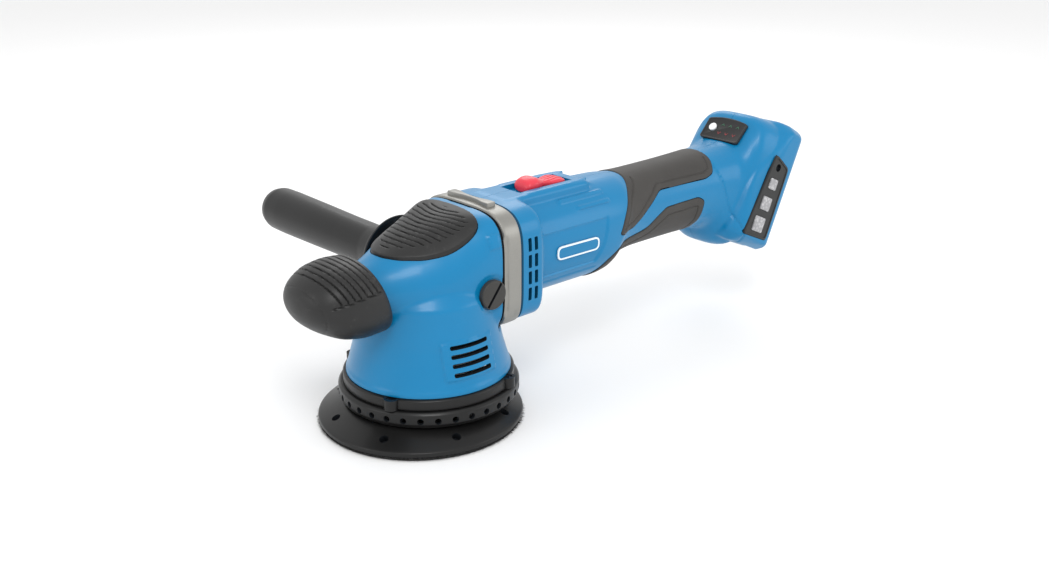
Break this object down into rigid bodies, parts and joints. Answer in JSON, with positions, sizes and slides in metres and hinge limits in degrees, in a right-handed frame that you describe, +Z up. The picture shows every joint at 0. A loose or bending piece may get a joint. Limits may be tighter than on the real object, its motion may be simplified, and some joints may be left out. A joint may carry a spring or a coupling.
{
  "type": "dual action polisher",
  "caption": "Cordless dual action polisher without its battery: offset round backing plate under a flared head, screw-in side handle, slide switch and angled battery foot.",
  "frame": {"origin": "where the output spindle's axis meets the plane of the hook face under the backing plate", "axes": "+Z up along the output spindle, +X back along the motor towards the battery foot, +Y towards the side handle"},
  "size_m": [0.4109, 0.2644, 0.1442],
  "materials": {
    "blue": "satin moulded shell",
    "black": "fine texture",
    "rubber": "soft overmould",
    "grey_metal": "cast and painted warm grey",
    "steel": "machined",
    "winding": "laminations with copper windings",
    "contact": "bright contacts",
    "red": "moulded",
    "white": "moulded",
    "lens": "translucent moulding",
    "hook": "hook fabric"
  },
  "bodies": {
    "housing": {"gear_housing": "blue", "nose_grip": "rubber", "top_grip": "rubber", "flange_ring": "grey_metal", "motor_housing_left": "blue", "motor_housing_right": "blue", "upper_grip": "rubber", "lower_grip": "rubber", "badge": "white", "control_panel": "black", "window_frame_left": "black", "window_frame_right": "black", "lens_left_1": "lens", "lens_left_2": "lens", "lens_left_3": "lens", "lens_right_1": "lens", "lens_right_2": "lens", "lens_right_3": "lens", "gear_case": "grey_metal", "bearing_plate": "grey_metal", "lower_spindle_bearing": "steel", "upper_spindle_bearing": "steel", "front_motor_bearing": "steel", "rear_motor_bearing": "steel", "rear_bearing_bracket": "black", "stator": "winding", "vent_shroud": "black", "shroud_flange": "black", "shroud_screw_1": "steel", "shroud_screw_2": "steel", "shroud_screw_3": "steel", "shroud_screw_4": "steel", "micro_switch": "black", "controller": "grey_metal", "terminal_block": "black", "terminal_blade_1": "contact", "terminal_blade_2": "contact", "battery_rail_left": "steel", "battery_rail_right": "steel", "side_handle": "rubber", "handle_stud": "steel", "blanking_plug": "black", "housing_screw_1": "steel", "housing_screw_2": "steel", "housing_screw_3": "steel", "housing_screw_4": "steel"},
    "rotor": {"rotor_shaft": "steel", "rotor_core": "steel", "cooling_fan": "black", "pinion": "steel"},
    "spindle": {"output_spindle": "steel", "bevel_gear": "steel", "counterweight": "steel", "eccentric_bearing": "steel"},
    "plate": {"backing_plate": "black", "hook_face": "hook", "plate_stud": "steel"},
    "switch": {"slide_switch": "red", "switch_link": "black"},
    "button": {"speed_button": "white"}
  },
  "joints": [
    {"name": "spindle_spin", "type": "hinge", "parent": "housing", "child": "spindle", "pos_m": [0, 0, 0.06], "axis": [0, 0, 1], "continuous": true},
    {"name": "rotor_spin", "type": "hinge", "parent": "housing", "child": "rotor", "pos_m": [0.06, 0, 0.092], "axis": [1, 0, 0], "continuous": true},
    {"name": "plate_spin", "type": "hinge", "parent": "spindle", "child": "plate", "pos_m": [-0.00744, -0.00091, 0.01], "axis": [0, 0, 1], "continuous": true},
    {"name": "switch_slide", "type": "slide", "parent": "housing", "child": "switch", "axis": [-1, 0, 0], "range_m": [0, 0.006]},
    {"name": "button_press", "type": "slide", "parent": "housing", "child": "button", "axis": [0.7176, 0, -0.6965], "range_m": [0, 0.0008], "stiffness_N_per_m": 600}
  ],
  "couplings": [
    {"joint": "rotor_spin", "follows": "spindle_spin", "ratio": 2.5}
  ]
}
